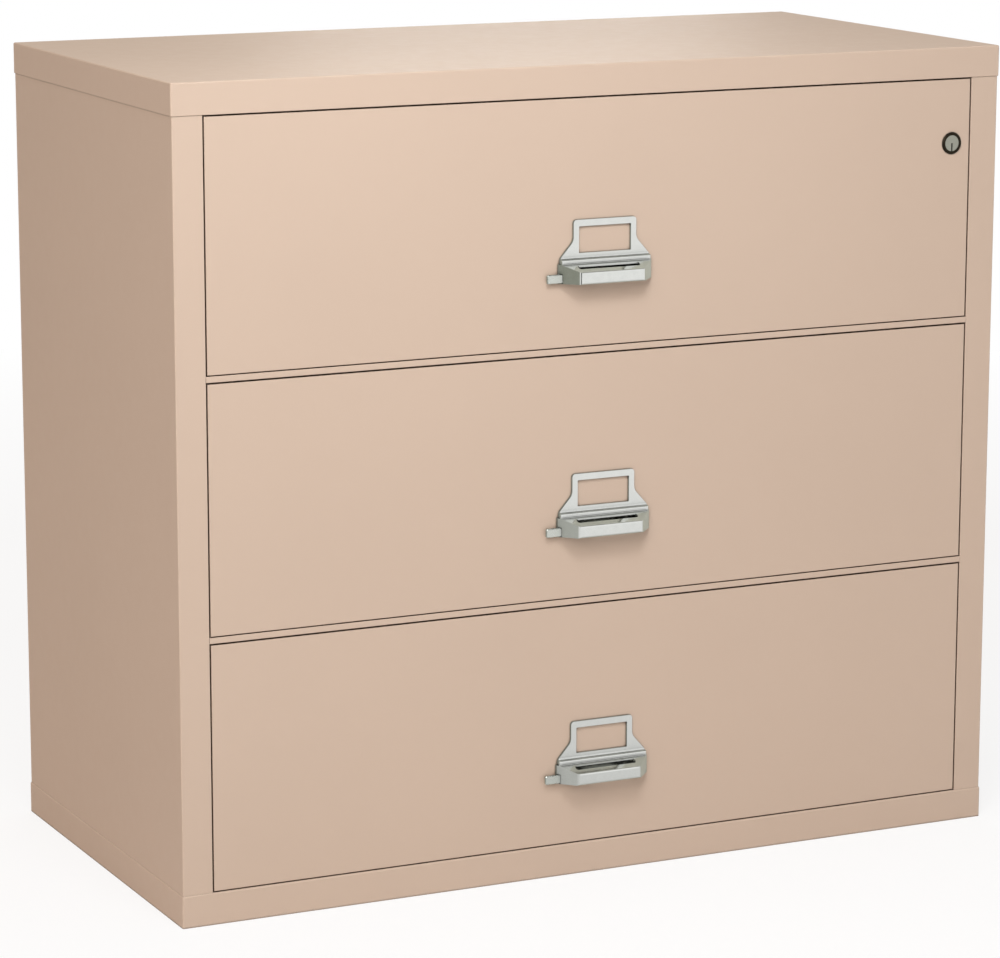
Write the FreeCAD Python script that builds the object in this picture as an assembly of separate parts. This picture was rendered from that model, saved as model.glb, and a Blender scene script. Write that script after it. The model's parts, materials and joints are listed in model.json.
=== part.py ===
import FreeCAD, Part
import math
import os

from FreeCAD import Vector

# A lateral fireproof filing cabinet with three drawers, in millimetres.
# +X is to the right of a person facing the drawers, +Y goes to the back, +Z is up.
# The origin is on the floor, under the middle of the whole outline.

# Overall sizes
WIDTH = 1130.3
DEPTH = 562.0
HEIGHT = 1022.35
DRAWER_COUNT = 3
TRAVEL = 380.0

# Outer case
SHEET = 1.2
CAP_HEIGHT = 39.2
BASE_HEIGHT = 40.4
BEND_RADIUS = 1.5
FOLD_RADIUS = 0.96
CAP_RADIUS = 2.0
CAP_LIP = 0.5
BASE_RADIUS = 2.4
STILE_WIDTH = 37.45
RAIL_HEIGHT = 7.6
REBATE_DEPTH = 30.0
BASE_FLANGE = 30.0

# Fire chambers
CHAMBER_STEP_SIDE = 37.8
CHAMBER_STEP_UP = 19.6
BACK_WALL = 70.0

# Drawer heads
HEAD_SHEET = 1.5
HEAD_GAP_SIDE = 1.8
HEAD_GAP_TOP = 2.0
HEAD_GAP_BOTTOM = 1.2
HEAD_EDGE_RADIUS = 1.2
PAN_DEPTH = 27.0
PLUG_DEPTH = 30.0
PLUG_GAP = 5.0

# Drawer trays
TRAY_SHEET = 1.2
TRAY_REAR_GAP = 30.2
TRAY_LIFT = 8.0
TRAY_HEADROOM = 30.0
TRAY_HEM = 9.0
TRAY_RADIUS = 3.0
BEAD_COUNT = 4
BEAD_WIDTH = 14.0
BEAD_HEIGHT = 2.5
FOLDER_RAIL_THICKNESS = 1.6
FOLDER_RAIL_HEIGHT = 15.0
FOLDER_RAIL_FOOT = 9.0
FOLDER_FRONT = 45.0
FOLDER_REAR = 44.0

# Telescopic slides, one each side of a tray
SLIDE_START = 2.0
SLIDE_END = 4.0
SLIDE_THICKNESS = 12.7
SLIDE_HEIGHT = 45.0
SLIDE_LIFT = 78.0
SLIDE_SHEET = 1.4
SLIDE_BALL = 4.0
SLIDE_OUTER_LIP = 11.0
CAGE_SHEET = 0.8
CAGE_GAP = 0.4
CAGE_MARGIN = 15.0
CAGE_WINDOW = 4.4
CAGE_PITCH = 45.0

# Pull handle with its label frame
HANDLE_HEIGHT = 77.0
HANDLE_DROP = 73.0
FRAME_HALF = 43.0
FRAME_RADIUS = 4.0
FRAME_THICKNESS = 3.2
NECK_DROP = 26.0
NECK_RADIUS = 14.0
SHOULDER_HEIGHT = 30.0
SHOULDER_RADIUS = 9.0
BROW_HALF = 61.5
BROW_REACH = 7.5
BROW_LOW = 23.5
BROW_NOSE = 28.6
BROW_TOP = 34.0
BROW_HOLLOW = 29.6
BROW_HOLLOW_RADIUS = 3.2
BROW_RADIUS = 2.2
BROW_LIP_DEPTH = 0.7
BROW_LIP_HEIGHT = 1.1
BROW_LIP_RADIUS = 0.5
BROW_CREASE_RADIUS = 0.8
WINDOW_HALF = 35.75
WINDOW_HEIGHT = 33.0
WINDOW_DROP = 8.0
WINDOW_RADIUS = 1.2
PULL_HALF = 63.5
PULL_FRONT_HALF = 43.3
PULL_REACH = 26.0
PULL_ROOT = 4.5
PULL_CORNER_RADIUS = 7.0
PULL_BAR_HEIGHT = 14.9
PULL_BAR = 7.8
PULL_BACK = 1.6
PULL_SKIN = 2.4
PULL_LOW_RADIUS = 2.6
PULL_TOP_RADIUS = 2.6
SLOT_BACK = 10.5
SLOT_HALF = 42.0
SLOT_RADIUS = 3.0

# Thumb latch in the pull, and its bolt in the drawer head
TAB_END = 80.5
TAB_HEIGHT = 10.8
TAB_THICKNESS = 3.0
TAB_OFFSET = 4.6
TAB_LIFT = 0.8
TAB_GAP = 0.5
TAB_INNER_END = 22.0
TAB_RADIUS = 1.6
TAB_CHAMFER = 0.7
LATCH_OUT = 3.0
LATCH_IN = 6.0
CAM_SHEET = 2.0
CAM_HALF = 15.0
CAM_GAP = 0.4
LATCH_STEM = 6.0
STEM_LIFT = 1.0
BOLT_WIDTH = 8.0
BOLT_THICKNESS = 4.0
BOLT_PIN_RADIUS = 2.0
BOLT_FIT = 0.08
BOLT_GAP = 0.4
BOLT_NOSE_RADIUS = 1.0
BOLT_HEAD_RADIUS = 3.0
LATCH_POCKET = 12.0
SPRING_SHEET = 0.5
SPRING_LENGTH = 16.0
SPRING_FOLDS = 4
SPRING_WIDTH = 8.0
SPRING_HALF = 6.0

# Key lock on the top drawer, and the bar that it drives
LOCK_FROM_EDGE = 28.2
LOCK_DROP = 83.2
LOCK_RING_RADIUS = 14.0
LOCK_RING_PROUD = 2.0
LOCK_RING_CHAMFER = 1.0
LOCK_BARREL_RADIUS = 12.2
LOCK_BARREL_LENGTH = 22.0
LOCK_PLUG_RADIUS = 10.2
LOCK_FIT = 0.08
LOCK_PLUG_RECESS = 0.6
KEYWAY_WIDTH = 1.8
KEYWAY_LENGTH = 10.4
KEYWAY_DEPTH = 17.6
TAIL_RADIUS = 3.0
TAIL_GAP = 0.6
LOBE_REACH = 9.0
LOBE_RADIUS = 3.0
LOBE_THICKNESS = 3.0
LOBE_PLAY = 2.3
LOCK_TRAVEL = 9.0
CHANNEL_SHEET = 1.0
CHANNEL_DEPTH = 14.0
LOCK_BAR_WIDTH = 10.0
LOCK_BAR_GAP = 0.3
LOCK_BAR_BEHIND = 1.0
LOCK_LUG = 4.0
STRIKE_THICKNESS = 3.0
STRIKE_HEIGHT = 18.0
STRIKE_FROM_EDGE = 18.0
STRIKE_GAP = 1.2
STRIKE_PLAY = 0.6
STRIKE_HOOK = 4.0

# What follows from those sizes
PROUD = SHEET
FRONT_REACH = PULL_REACH - PROUD
Y_CAP_FRONT = -(DEPTH - FRONT_REACH) / 2
Y_FACE = Y_CAP_FRONT + PROUD
Y_BACK = Y_CAP_FRONT + DEPTH - PROUD
X_CASE = WIDTH / 2 - PROUD
X_OPENING = X_CASE - STILE_WIDTH - SHEET
Y_REBATE = Y_FACE + REBATE_DEPTH
Y_LINING = Y_REBATE + SHEET
X_CHAMBER = X_OPENING - CHAMBER_STEP_SIDE
Y_CHAMBER_BACK = Y_BACK - SHEET - BACK_WALL - SHEET
Z_OPENINGS_TOP = HEIGHT - CAP_HEIGHT
OPENING_HEIGHT = (
    Z_OPENINGS_TOP - BASE_HEIGHT - (DRAWER_COUNT - 1) * RAIL_HEIGHT
) / DRAWER_COUNT
PITCH = OPENING_HEIGHT + RAIL_HEIGHT
CHAMBER_HEIGHT = OPENING_HEIGHT - 2 * CHAMBER_STEP_UP
X_HEAD = X_OPENING - HEAD_GAP_SIDE
HEAD_DEPTH = PAN_DEPTH + PLUG_DEPTH
X_TRAY = X_CHAMBER - SLIDE_THICKNESS
Y_TRAY = Y_FACE + HEAD_DEPTH
TRAY_DEPTH = Y_CHAMBER_BACK - TRAY_REAR_GAP - Y_TRAY
TRAY_HEIGHT = CHAMBER_HEIGHT - TRAY_LIFT - TRAY_HEADROOM
FOLDER_SPAN = TRAY_DEPTH - FOLDER_FRONT - FOLDER_REAR
Y_SLIDE = Y_TRAY + SLIDE_START
SLIDE_LENGTH = TRAY_DEPTH - SLIDE_START - SLIDE_END
Y_CHANNEL_BACK = Y_LINING + CHANNEL_DEPTH
Y_BAR = Y_LINING + LOCK_BAR_BEHIND
X_LOCK = X_HEAD - LOCK_FROM_EDGE + HEAD_GAP_SIDE
Z_LOCK = Z_OPENINGS_TOP - LOCK_DROP
X_BAR_RIGHT = X_OPENING + SHEET - CHANNEL_SHEET - LOCK_BAR_GAP
X_BAR_LEFT = X_BAR_RIGHT - LOCK_BAR_WIDTH
X_STRIKE = X_OPENING - STRIKE_FROM_EDGE
X_BOLT = -TAB_INNER_END + LATCH_STEM / 2


def opening_bottom(number):
    """Height of the lower edge of a drawer's opening; drawer 1 is the top one."""
    return BASE_HEIGHT + (DRAWER_COUNT - number) * PITCH


def opening_middle(number):
    return opening_bottom(number) + OPENING_HEIGHT / 2


def chamber_bottom(number):
    return opening_middle(number) - CHAMBER_HEIGHT / 2


def block(x0, x1, y0, y1, z0, z1):
    """A box between two corners."""
    return Part.makeBox(x1 - x0, y1 - y0, z1 - z0, Vector(x0, y0, z0))


def in_plane(a, b, plane):
    if plane == "xy":
        return Vector(a, b, 0)
    if plane == "xz":
        return Vector(a, 0, b)
    return Vector(0, a, b)


def rounded_corner(before, corner, after, radius):
    """The two tangent points of a rounded corner and the middle of its arc."""
    to_before = (before - corner).normalize()
    to_after = (after - corner).normalize()
    half_angle = to_before.getAngle(to_after) / 2
    run = radius / math.tan(half_angle)
    inward = (to_before + to_after).normalize()
    middle = corner + inward * (radius / math.sin(half_angle) - radius)
    return corner + to_before * run, middle, corner + to_after * run


def outline(corners, plane):
    """A face whose corners are (a, b) or (a, b, radius) in the plane."""
    points = [in_plane(corner[0], corner[1], plane) for corner in corners]
    edges = []
    ends = []
    for index, corner in enumerate(corners):
        point = points[index]
        if len(corner) == 2:
            ends.append((point, point))
            continue
        before = points[index - 1]
        after = points[(index + 1) % len(points)]
        start, middle, end = rounded_corner(before, point, after, corner[2])
        edges.append((index, Part.Arc(start, middle, end).toShape()))
        ends.append((start, end))
    arcs = dict(edges)
    path = []
    for index in range(len(points)):
        if index in arcs:
            path.append(arcs[index])
        start = ends[index][1]
        end = ends[(index + 1) % len(points)][0]
        if start.distanceToPoint(end) > 1e-6:
            path.append(Part.makeLine(start, end))
    return Part.Face(Part.Wire(path))


def prism(corners, plane, start, end):
    """An outline extruded along the axis that its plane lacks."""
    axis = {"xy": Vector(0, 0, 1), "xz": Vector(0, 1, 0), "yz": Vector(1, 0, 0)}[plane]
    face = outline(corners, plane)
    face.translate(axis * start)
    return face.extrude(axis * (end - start))


def rounded(shape, radius, chosen):
    """The shape with every edge that the test chooses rounded."""
    return shape.makeFillet(radius, [edge for edge in shape.Edges if chosen(edge)])


def is_vertical(edge):
    box = edge.BoundBox
    return box.ZLength > box.XLength + box.YLength


def runs_back(edge):
    box = edge.BoundBox
    return box.YLength > box.XLength + box.ZLength


def at_height(edge, z):
    box = edge.BoundBox
    return abs(box.ZMin - z) < 1e-6 and abs(box.ZMax - z) < 1e-6


def at_depth(edge, y):
    box = edge.BoundBox
    return abs(box.YMin - y) < 1e-6 and abs(box.YMax - y) < 1e-6


def fused(solids):
    return solids[0].multiFuse(solids[1:]).removeSplitter()


def both_sides(solid):
    """A solid and its mirror image across the middle plane, as one group."""
    return Part.makeCompound([solid, solid.mirror(Vector(0, 0, 0), Vector(1, 0, 0))])


# Outer case


def outer_wrap():
    """Sides, back, front stiles and the stiles' returns, folded from one sheet."""
    top = HEIGHT - SHEET
    shell = block(-X_CASE, X_CASE, Y_FACE, Y_BACK, SHEET, top)
    shell = rounded(shell, BEND_RADIUS, is_vertical)
    inner = block(
        -X_CASE + SHEET, X_CASE - SHEET, Y_FACE + SHEET, Y_BACK - SHEET, SHEET, top
    )
    gap = block(-X_OPENING, X_OPENING, Y_FACE - SHEET, Y_FACE + SHEET, SHEET, top)
    returns = block(X_OPENING, X_OPENING + SHEET, Y_FACE, Y_LINING, 2 * SHEET, top)
    mirrored = returns.mirror(Vector(0, 0, 0), Vector(1, 0, 0))
    wrap = fused([shell.cut(inner).cut(gap), returns, mirrored])
    return rounded(
        wrap,
        FOLD_RADIUS,
        lambda edge: is_vertical(edge)
        and at_depth(edge, Y_FACE)
        and abs(abs(edge.BoundBox.XMin) - X_OPENING) < 1e-6,
    )


def top_cover():
    """Top pan whose skirt stands one sheet proud of the case on all sides."""
    y_back = Y_CAP_FRONT + DEPTH
    bottom = HEIGHT - CAP_HEIGHT
    cover = block(-WIDTH / 2, WIDTH / 2, Y_CAP_FRONT, y_back, bottom, HEIGHT)
    cover = rounded(
        cover, CAP_RADIUS, lambda edge: is_vertical(edge) or at_height(edge, HEIGHT)
    )
    cover = cover.makeChamfer(
        CAP_LIP, [edge for edge in cover.Edges if at_height(edge, bottom)]
    )
    hollow = block(
        -X_CASE, X_CASE, Y_FACE, Y_BACK, bottom, HEIGHT - SHEET
    )
    return cover.cut(hollow)


def base_frame():
    """Base band, rolled over at its top, with a floor flange and the bottom sill."""
    y_back = Y_CAP_FRONT + DEPTH
    band = block(-WIDTH / 2, WIDTH / 2, Y_CAP_FRONT, y_back, 0, BASE_HEIGHT)
    band = rounded(
        band,
        BASE_RADIUS,
        lambda edge: is_vertical(edge) or at_height(edge, BASE_HEIGHT),
    )
    hollow = block(-X_CASE, X_CASE, Y_FACE, Y_BACK, SHEET, BASE_HEIGHT)
    underside = block(
        -X_CASE + BASE_FLANGE,
        X_CASE - BASE_FLANGE,
        Y_FACE + BASE_FLANGE,
        Y_BACK - BASE_FLANGE,
        0,
        SHEET,
    )
    sill = band.common(
        block(
            -X_OPENING,
            X_OPENING,
            Y_CAP_FRONT,
            Y_LINING,
            BASE_HEIGHT - SHEET,
            BASE_HEIGHT,
        )
    )
    frame = fused([band.cut(hollow).cut(underside), sill])
    return frame.cut(keeper_slot(DRAWER_COUNT))


def bottom_pan():
    return block(
        -X_CASE + SHEET, X_CASE - SHEET, Y_FACE + SHEET, Y_BACK - SHEET, SHEET, 2 * SHEET
    )


def keeper_slot(number):
    """The slot under a drawer head that its latch bolt drops into."""
    bolt_front, bolt_back = bolt_depths()
    bottom = opening_bottom(number)
    return block(
        X_BOLT - BOLT_WIDTH / 2 - BOLT_GAP,
        X_BOLT + BOLT_WIDTH / 2 + BOLT_GAP,
        bolt_front - BOLT_GAP,
        bolt_back + BOLT_GAP,
        bottom - 2 * SHEET,
        bottom + SHEET,
    )


def cross_rail(number):
    """The channel between one drawer and the drawer below it."""
    top = opening_bottom(number)
    bottom = top - RAIL_HEIGHT
    rail = block(-X_OPENING, X_OPENING, Y_FACE, Y_LINING, bottom, top)
    rail = rounded(
        rail, FOLD_RADIUS, lambda edge: at_depth(edge, Y_FACE) and not is_vertical(edge)
    )
    inside = block(
        -X_OPENING, X_OPENING, Y_FACE + SHEET, Y_LINING, bottom + SHEET, top - SHEET
    )
    return rail.cut(inside).cut(keeper_slot(number))


def header_rail():
    """The angle behind the top cover's skirt that the top drawer closes under."""
    front = block(
        -X_OPENING, X_OPENING, Y_FACE, Y_FACE + SHEET, Z_OPENINGS_TOP, HEIGHT - SHEET
    )
    lip = block(
        -X_OPENING, X_OPENING, Y_FACE, Y_LINING, Z_OPENINGS_TOP, Z_OPENINGS_TOP + SHEET
    )
    return fused([front, lip])


def cross_rails():
    rails = [cross_rail(number) for number in range(1, DRAWER_COUNT)]
    return Part.makeCompound([header_rail()] + rails)


def liner(number):
    """Steel lining of one fire chamber, with the flange that closes the rebate."""
    bottom = chamber_bottom(number)
    top = bottom + CHAMBER_HEIGHT
    low = opening_bottom(number)
    flange = block(-X_OPENING, X_OPENING, Y_REBATE, Y_LINING, low, low + OPENING_HEIGHT)
    tube = block(
        -X_CHAMBER - SHEET,
        X_CHAMBER + SHEET,
        Y_REBATE,
        Y_CHAMBER_BACK + SHEET,
        bottom - SHEET,
        top + SHEET,
    )
    chamber = block(-X_CHAMBER, X_CHAMBER, Y_REBATE, Y_CHAMBER_BACK, bottom, top)
    return fused([flange, tube]).cut(chamber).cut(lock_slot(number))


def lock_slot(number):
    """The slot in a lining's flange for the lock's tail or for a strike."""
    if number == 1:
        side = LOBE_RADIUS + TAIL_GAP
        return block(
            X_LOCK - side,
            X_LOCK + LOBE_REACH + side,
            Y_REBATE - SHEET,
            Y_LINING + SHEET,
            Z_LOCK - side,
            Z_LOCK + side,
        )
    middle = opening_middle(number)
    return block(
        X_STRIKE - STRIKE_THICKNESS / 2 - STRIKE_GAP,
        X_STRIKE + STRIKE_THICKNESS / 2 + STRIKE_GAP,
        Y_REBATE - SHEET,
        Y_LINING + SHEET,
        middle - STRIKE_HEIGHT / 2 - STRIKE_GAP,
        middle + STRIKE_HEIGHT / 2 + STRIKE_GAP,
    )


# Fire insulation


def side_insulation():
    """Cast slabs beside the chambers and the fillings of the two stiles."""
    inner = X_CHAMBER + SHEET
    outer = X_CASE - SHEET
    bottom = 2 * SHEET
    top = HEIGHT - SHEET
    y_slab_back = Y_CHAMBER_BACK + SHEET
    left_slab = block(-outer, -inner, Y_LINING, y_slab_back, bottom, top)
    right_slab = block(inner, outer, Y_CHANNEL_BACK, y_slab_back, bottom, top)
    stile_inner = X_OPENING + SHEET
    left_stile = block(-outer, -stile_inner, Y_FACE + SHEET, Y_LINING, bottom, top)
    right_stile = block(
        stile_inner, outer, Y_FACE + SHEET, Y_CHANNEL_BACK, bottom, top
    )
    return Part.makeCompound([left_slab, right_slab, left_stile, right_stile])


def back_insulation():
    x = X_CASE - SHEET
    y_front = Y_CHAMBER_BACK + SHEET
    return block(-x, x, y_front, Y_BACK - SHEET, 2 * SHEET, HEIGHT - SHEET)


def top_insulation():
    """The slab over the top chamber and the strip over its front rebate."""
    x = X_CHAMBER + SHEET
    slab_bottom = chamber_bottom(1) + CHAMBER_HEIGHT + SHEET
    slab = block(-x, x, Y_LINING, Y_CHAMBER_BACK + SHEET, slab_bottom, HEIGHT - SHEET)
    strip = block(
        -X_OPENING,
        X_OPENING,
        Y_FACE + SHEET,
        Y_LINING,
        Z_OPENINGS_TOP + SHEET,
        HEIGHT - SHEET,
    )
    return Part.makeCompound([slab, strip])


def floor_insulation():
    """The slab under the bottom chamber and the strip behind the base band."""
    x = X_CHAMBER + SHEET
    slab_top = chamber_bottom(DRAWER_COUNT) - SHEET
    slab = block(-x, x, Y_LINING, Y_CHAMBER_BACK + SHEET, 2 * SHEET, slab_top)
    strip = block(
        -X_OPENING,
        X_OPENING,
        Y_FACE + SHEET,
        Y_LINING,
        2 * SHEET,
        BASE_HEIGHT - RAIL_HEIGHT,
    )
    return Part.makeCompound([slab, strip])


def divider_insulation():
    """The slabs between one chamber and the next."""
    x = X_CHAMBER + SHEET
    slabs = []
    for number in range(1, DRAWER_COUNT):
        top = chamber_bottom(number) - SHEET
        bottom = chamber_bottom(number + 1) + CHAMBER_HEIGHT + SHEET
        slabs.append(block(-x, x, Y_LINING, Y_CHAMBER_BACK + SHEET, bottom, top))
    return Part.makeCompound(slabs)


# Drawer heads


def head_limits(number):
    """Lower and upper edge of a drawer head."""
    bottom = opening_bottom(number)
    return bottom + HEAD_GAP_BOTTOM, bottom + OPENING_HEIGHT - HEAD_GAP_TOP


def bolt_depths():
    """Front and back face of a latch bolt inside the drawer head."""
    front = Y_FACE + HEAD_SHEET + CAM_GAP + CAM_SHEET + CAM_GAP
    return front, front + BOLT_THICKNESS


def head_pan(number):
    """The drawer's front: a shallow pan with soft folded edges, open to the back."""
    low, high = head_limits(number)
    y_back = Y_FACE + PAN_DEPTH
    pan = block(-X_HEAD, X_HEAD, Y_FACE, y_back, low, high)
    pan = rounded(pan, HEAD_EDGE_RADIUS, lambda edge: at_depth(edge, Y_FACE))
    inside = block(
        -X_HEAD + HEAD_SHEET,
        X_HEAD - HEAD_SHEET,
        Y_FACE + HEAD_SHEET,
        y_back,
        low + HEAD_SHEET,
        high - HEAD_SHEET,
    )
    pan = pan.cut(inside).cut(stem_slot(number))
    bolt_front, bolt_back = bolt_depths()
    bolt_hole = block(
        X_BOLT - BOLT_WIDTH / 2 - BOLT_GAP,
        X_BOLT + BOLT_WIDTH / 2 + BOLT_GAP,
        bolt_front - BOLT_GAP,
        bolt_back + BOLT_GAP,
        low - SHEET,
        low + HEAD_SHEET + SHEET,
    )
    pan = pan.cut(bolt_hole)
    if number == 1:
        pan = pan.cut(lock_hole())
    return pan


def stem_slot(number):
    """The slot in the drawer's face for the stem of the thumb latch."""
    z0, z1 = stem_heights(number)
    return block(
        -TAB_INNER_END - LATCH_OUT - BOLT_GAP,
        -TAB_INNER_END + LATCH_STEM + LATCH_IN + BOLT_GAP,
        Y_FACE - HEAD_SHEET,
        Y_FACE + 2 * HEAD_SHEET,
        z0 - BOLT_GAP,
        z1 + BOLT_GAP,
    )


def lock_hole():
    return Part.makeCylinder(
        LOCK_BARREL_RADIUS + LOCK_FIT,
        PAN_DEPTH,
        Vector(X_LOCK, Y_FACE - HEAD_SHEET, Z_LOCK),
        Vector(0, 1, 0),
    )


def head_plug(number):
    """The back of a drawer head, whose plug enters the chamber's mouth."""
    low, high = head_limits(number)
    y_plate = Y_FACE + PAN_DEPTH
    plate = block(
        -X_HEAD + HEAD_SHEET,
        X_HEAD - HEAD_SHEET,
        y_plate - SHEET,
        y_plate,
        low + HEAD_SHEET,
        high - HEAD_SHEET,
    )
    x = X_CHAMBER - PLUG_GAP
    z0 = chamber_bottom(number) + PLUG_GAP
    z1 = z0 + CHAMBER_HEIGHT - 2 * PLUG_GAP
    plug = block(-x, x, y_plate - SHEET, Y_TRAY, z0, z1)
    plug = rounded(plug, BEND_RADIUS, is_vertical)
    inside = block(
        -x + SHEET, x - SHEET, y_plate - SHEET, Y_TRAY - SHEET, z0 + SHEET, z1 - SHEET
    )
    back = fused([plate, plug]).cut(inside)
    if number == 1:
        tail_hole = Part.makeCylinder(
            TAIL_RADIUS + TAIL_GAP,
            4 * SHEET,
            Vector(X_LOCK, y_plate - 2 * SHEET, Z_LOCK),
            Vector(0, 1, 0),
        )
        return back.cut(tail_hole)
    return fused([back, strike(number)])


def strike(number):
    """The hooked plate behind a drawer head that the lock bar's finger rises into."""
    y_start = Y_FACE + PAN_DEPTH - SHEET
    y_notch = Y_BAR - STRIKE_PLAY
    y_hook = Y_BAR + LOBE_THICKNESS + STRIKE_PLAY
    middle = opening_middle(number)
    top = middle + STRIKE_HEIGHT / 2
    bottom = middle - STRIKE_HEIGHT / 2
    x0 = X_STRIKE - STRIKE_THICKNESS / 2
    plate = block(
        x0, x0 + STRIKE_THICKNESS, y_start, y_hook + STRIKE_HOOK, bottom, top
    )
    notch_top = bottom + LOCK_TRAVEL - STRIKE_GAP + STRIKE_PLAY
    notch = block(x0, x0 + STRIKE_THICKNESS, y_notch, y_hook, bottom, notch_top)
    return plate.cut(notch)


def head_core(number):
    """The cast filling of a drawer head, with room for the latch and the lock."""
    low, high = head_limits(number)
    y_plate = Y_FACE + PAN_DEPTH - SHEET
    front = block(
        -X_HEAD + HEAD_SHEET,
        X_HEAD - HEAD_SHEET,
        Y_FACE + HEAD_SHEET,
        y_plate,
        low + HEAD_SHEET,
        high - HEAD_SHEET,
    )
    x = X_CHAMBER - PLUG_GAP - SHEET
    z0 = chamber_bottom(number) + PLUG_GAP + SHEET
    z1 = z0 + CHAMBER_HEIGHT - 2 * PLUG_GAP - 2 * SHEET
    rear = block(-x, x, y_plate, Y_TRAY - SHEET, z0, z1)
    core = fused([front, rear]).cut(latch_pocket(number))
    if number > 1:
        return core
    barrel = Part.makeCylinder(
        LOCK_BARREL_RADIUS + TAIL_GAP,
        PAN_DEPTH,
        Vector(X_LOCK, Y_FACE, Z_LOCK),
        Vector(0, 1, 0),
    )
    return core.cut(barrel)


def latch_pocket(number):
    """The hollow behind the drawer's face that holds the latch and its bolt."""
    low, _ = head_limits(number)
    z_cam = pin_height(number)
    x0 = X_BOLT - CAM_HALF - LATCH_OUT - CAM_GAP
    x1 = X_BOLT + CAM_HALF + SPRING_LENGTH + 2 * CAM_GAP
    y0 = Y_FACE + HEAD_SHEET
    y1 = y0 + LATCH_POCKET
    side = BOLT_WIDTH / 2 + BOLT_GAP
    chamber = block(x0, x1, y0, y1, z_cam - CAM_HALF, z_cam + CAM_HALF + LATCH_IN)
    shaft = block(
        X_BOLT - side, X_BOLT + side, y0, y1, low + HEAD_SHEET, z_cam - CAM_HALF
    )
    return fused([chamber, shaft])


# Drawer trays


def tray(number):
    """Folded steel tray with hemmed rims and beads along its floor."""
    bottom = chamber_bottom(number) + TRAY_LIFT
    top = bottom + TRAY_HEIGHT
    y_back = Y_TRAY + TRAY_DEPTH
    body = block(-X_TRAY, X_TRAY, Y_TRAY, y_back, bottom, top)
    body = rounded(
        body, TRAY_RADIUS, lambda edge: at_height(edge, bottom) and runs_back(edge)
    )
    rim = TRAY_SHEET + TRAY_HEM
    inside = block(
        -X_TRAY + TRAY_SHEET,
        X_TRAY - TRAY_SHEET,
        Y_TRAY + TRAY_SHEET,
        y_back - TRAY_SHEET,
        bottom + TRAY_SHEET,
        top - TRAY_SHEET,
    )
    inside = rounded(
        inside,
        TRAY_RADIUS - TRAY_SHEET,
        lambda edge: at_height(edge, bottom + TRAY_SHEET) and runs_back(edge),
    )
    mouth = block(
        -X_TRAY + rim, X_TRAY - rim, Y_TRAY + rim, y_back - rim, bottom + rim, top
    )
    body = body.cut(inside).cut(mouth)
    beads = []
    for index in range(BEAD_COUNT):
        share = (index + 1) / (BEAD_COUNT + 1)
        x = -X_TRAY + 2 * X_TRAY * share
        beads.append(
            prism(
                [
                    (x - BEAD_WIDTH / 2, bottom + TRAY_SHEET),
                    (x + BEAD_WIDTH / 2, bottom + TRAY_SHEET),
                    (x + BEAD_WIDTH / 3, bottom + TRAY_SHEET + BEAD_HEIGHT),
                    (x - BEAD_WIDTH / 3, bottom + TRAY_SHEET + BEAD_HEIGHT),
                ],
                "xz",
                Y_TRAY + rim,
                y_back - rim,
            )
        )
    return fused([body] + beads)


def folder_rails(number):
    """Two angle bars across the tray that hanging folders ride on."""
    base = chamber_bottom(number) + TRAY_LIFT + TRAY_HEIGHT
    top = base + FOLDER_RAIL_HEIGHT
    y_front = Y_TRAY + FOLDER_FRONT
    y_back = y_front + FOLDER_SPAN
    x = X_TRAY - TRAY_SHEET
    rails = []
    for y_edge, outward in ((y_front, -1), (y_back, 1)):
        y_web = y_edge + outward * FOLDER_RAIL_THICKNESS
        y_foot = y_edge + outward * FOLDER_RAIL_FOOT
        section = [
            (y_edge, base),
            (y_edge, top),
            (y_web, top),
            (y_web, base + FOLDER_RAIL_THICKNESS),
            (y_foot, base + FOLDER_RAIL_THICKNESS),
            (y_foot, base),
        ]
        rails.append(prism(section, "yz", -x, x))
    return Part.makeCompound(rails)


# Telescopic slides


def slide_section(web_start, web, lip_end, half_height, sheet):
    """A channel along the slide, from its distances off the chamber's wall."""
    x_web = X_CHAMBER - web_start
    x_lip = X_CHAMBER - lip_end
    corners = [
        (x_web, -half_height),
        (x_web, half_height),
        (x_lip, half_height),
        (x_lip, half_height - sheet),
        (x_web - web, half_height - sheet),
        (x_web - web, -half_height + sheet),
        (x_lip, -half_height + sheet),
        (x_lip, -half_height),
    ]
    return corners


def slide_member(number, corners, y_start, length):
    middle = chamber_bottom(number) + SLIDE_LIFT
    member = prism(corners, "xz", y_start, y_start + length)
    member.translate(Vector(0, 0, middle))
    return member


def slide_outer(number):
    corners = slide_section(0, SLIDE_SHEET, SLIDE_OUTER_LIP, SLIDE_HEIGHT / 2, SLIDE_SHEET)
    return both_sides(slide_member(number, corners, Y_SLIDE, SLIDE_LENGTH))


def mid_web_start():
    return SLIDE_SHEET + CAGE_GAP + CAGE_SHEET + CAGE_GAP


def mid_half_height():
    return SLIDE_HEIGHT / 2 - SLIDE_SHEET - SLIDE_BALL


def slide_mid(number):
    corners = slide_section(
        mid_web_start(), SLIDE_SHEET, SLIDE_OUTER_LIP, mid_half_height(), SLIDE_SHEET
    )
    return both_sides(slide_member(number, corners, Y_SLIDE, SLIDE_LENGTH))


def inner_half_height():
    return mid_half_height() - SLIDE_SHEET - SLIDE_BALL


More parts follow.
